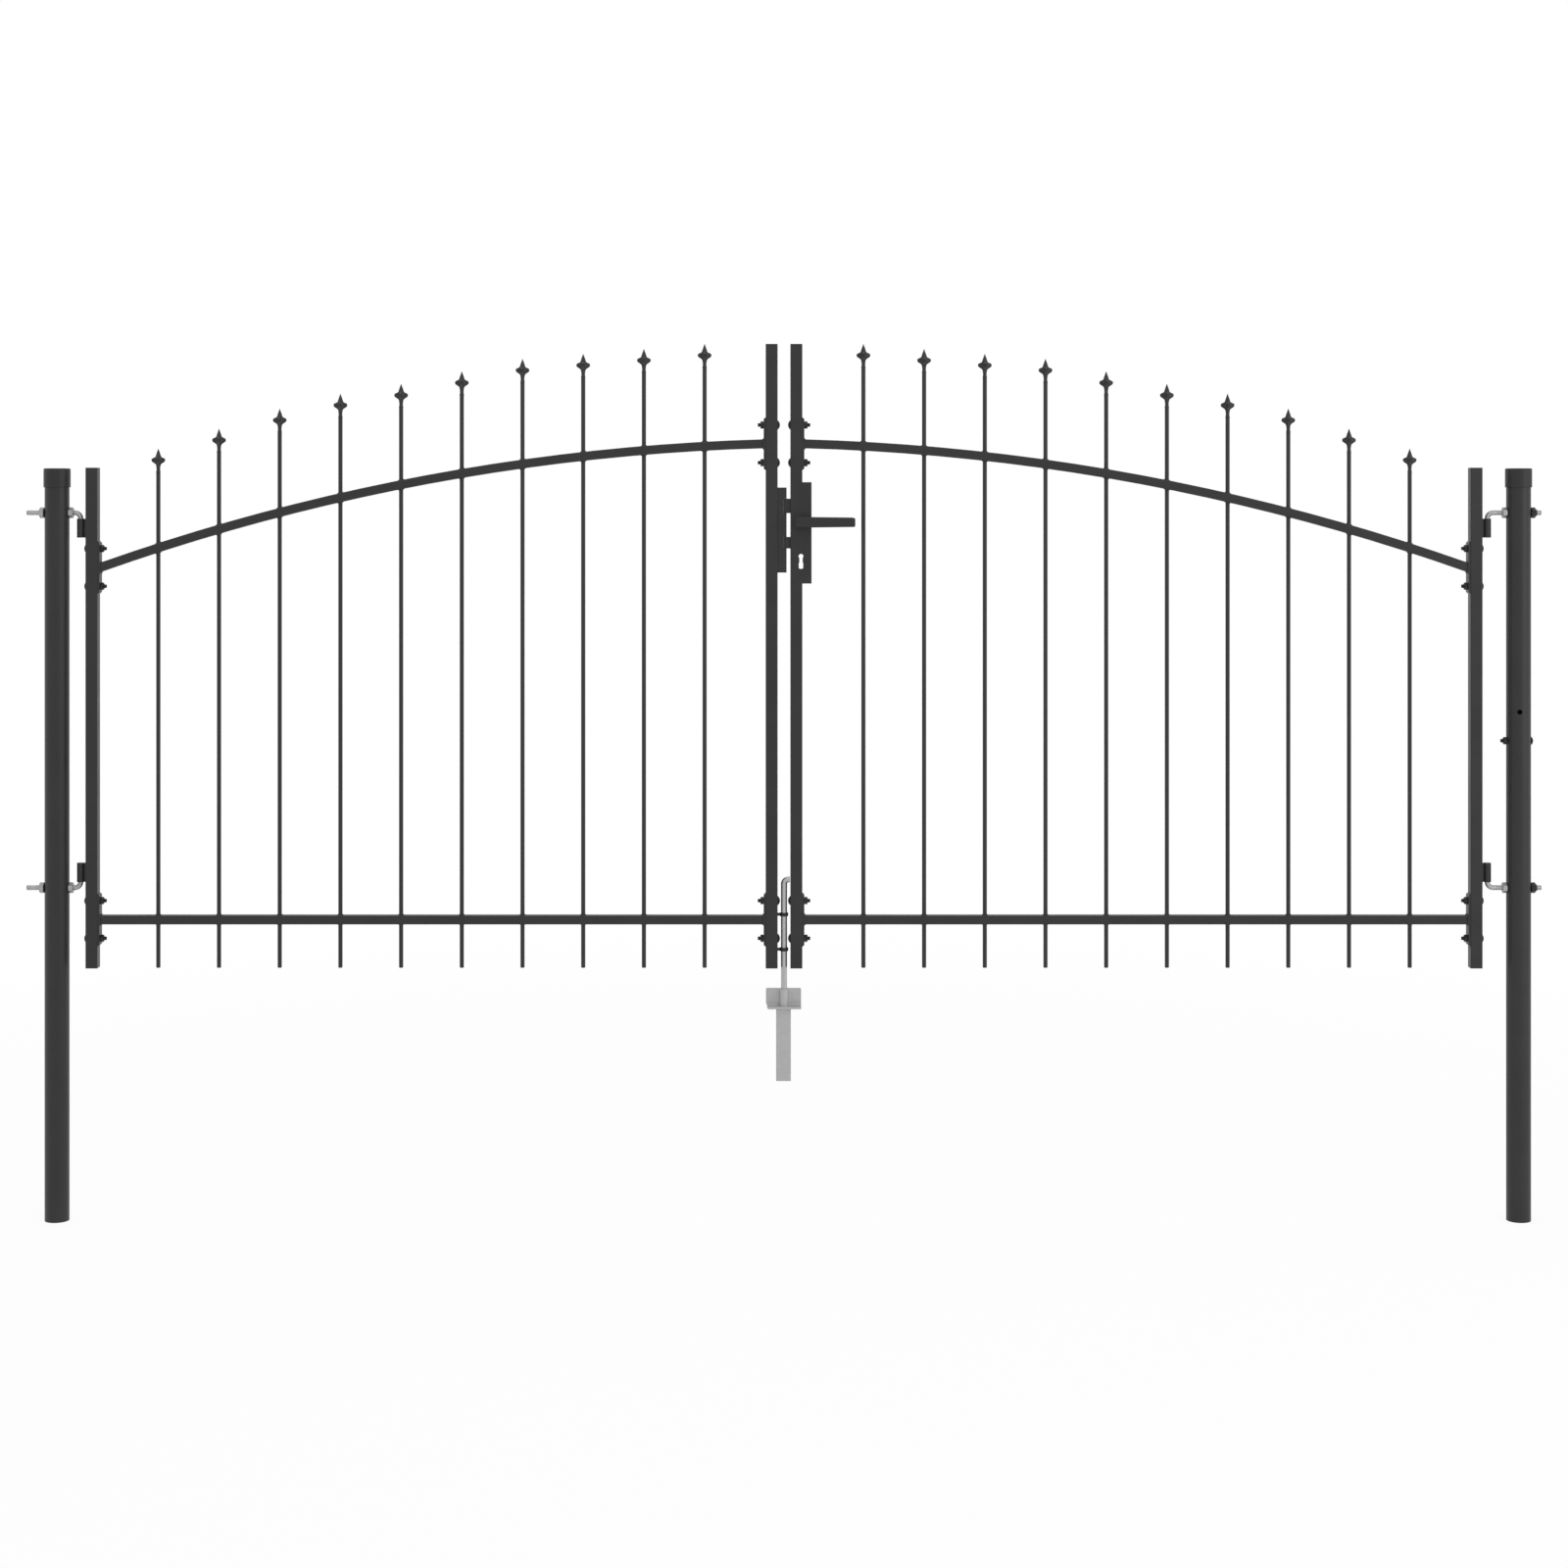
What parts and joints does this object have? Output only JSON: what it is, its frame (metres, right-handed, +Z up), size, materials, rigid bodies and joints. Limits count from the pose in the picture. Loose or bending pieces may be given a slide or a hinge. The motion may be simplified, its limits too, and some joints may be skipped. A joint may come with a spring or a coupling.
{
  "type": "double-leaf driveway gate",
  "caption": "Double-leaf steel driveway gate with bowed top rails, spear-topped round pickets, round posts, bent-pin hinges, lever lock, drop rod and ground stop.",
  "frame": {"origin": "centre of the left post's bottom face", "axes": "+X runs to the right along the closed gate, the side with the front lever faces -Y, +Z is up"},
  "size_m": [3.0348, 0.1046, 1.756],
  "materials": {
    "powder_coat": "matt anthracite powder coat",
    "black_fastener": "satin black plating",
    "zinc_steel": "zinc plated",
    "galvanised_steel": "galvanised",
    "black_plastic": "moulded, fine grain"
  },
  "bodies": {
    "posts": {"left_post": "powder_coat", "right_post": "powder_coat", "left_post_cap": "black_plastic", "right_post_cap": "black_plastic", "left_hinge_bolts": "zinc_steel", "right_hinge_bolts": "zinc_steel", "left_hinge_nuts": "zinc_steel", "right_hinge_nuts": "zinc_steel", "right_hinge_lock_nuts": "black_fastener", "hinge_washers": "black_fastener", "right_post_bolt": "black_fastener", "right_post_nut": "black_fastener", "ground_stop": "galvanised_steel", "ground_spike": "galvanised_steel"},
    "left_leaf": {"left_hinge_stile": "powder_coat", "left_centre_stile": "powder_coat", "left_hinge_barrels": "powder_coat", "left_top_rail": "powder_coat", "left_bottom_rail": "powder_coat", "left_end_plates": "powder_coat", "left_frame_bolts": "black_fastener", "left_frame_nuts": "black_fastener", "left_pickets": "powder_coat", "left_spear_heads": "powder_coat", "left_stile_plugs": "black_plastic", "lock_keep": "powder_coat", "rod_guides": "black_fastener"},
    "right_leaf": {"right_hinge_stile": "powder_coat", "right_centre_stile": "powder_coat", "right_hinge_barrels": "powder_coat", "right_top_rail": "powder_coat", "right_bottom_rail": "powder_coat", "right_end_plates": "powder_coat", "right_frame_bolts": "black_fastener", "right_frame_nuts": "black_fastener", "right_pickets": "powder_coat", "right_spear_heads": "powder_coat", "right_stile_plugs": "black_plastic", "lock_case": "powder_coat"},
    "lever": {"front_lever": "black_plastic", "back_lever": "black_plastic", "lever_spindle": "zinc_steel"},
    "latch": {"latch_bolt": "powder_coat"},
    "dead_bolt": {"dead_bolt": "powder_coat"},
    "drop_rod": {"drop_rod": "galvanised_steel"}
  },
  "joints": [
    {"name": "left_leaf_swing", "type": "hinge", "parent": "posts", "child": "left_leaf", "pos_m": [0.0475, 0, 1], "axis": [0, 0, -1], "range_deg": [0, 90]},
    {"name": "right_leaf_swing", "type": "hinge", "parent": "posts", "child": "right_leaf", "pos_m": [2.8675, 0, 1], "axis": [0, 0, 1], "range_deg": [0, 90]},
    {"name": "lever_turn", "type": "hinge", "parent": "right_leaf", "child": "lever", "pos_m": [1.49155, 0, 1.399], "axis": [0, 1, 0], "range_deg": [0, 40], "stiffness_Nm_per_rad": 0.6, "springref_deg": -28.65},
    {"name": "latch_slide", "type": "slide", "parent": "right_leaf", "child": "latch", "axis": [1, 0, 0], "range_m": [0, 0.0135]},
    {"name": "dead_bolt_slide", "type": "slide", "parent": "right_leaf", "child": "dead_bolt", "axis": [1, 0, 0], "range_m": [0, 0.0135]},
    {"name": "drop_rod_lift", "type": "slide", "parent": "left_leaf", "child": "drop_rod", "axis": [0, 0, 1], "range_m": [-0.02, 0.08]}
  ],
  "couplings": [
    {"joint": "latch_slide", "follows": "lever_turn", "m_per_rad": 0.0193}
  ]
}
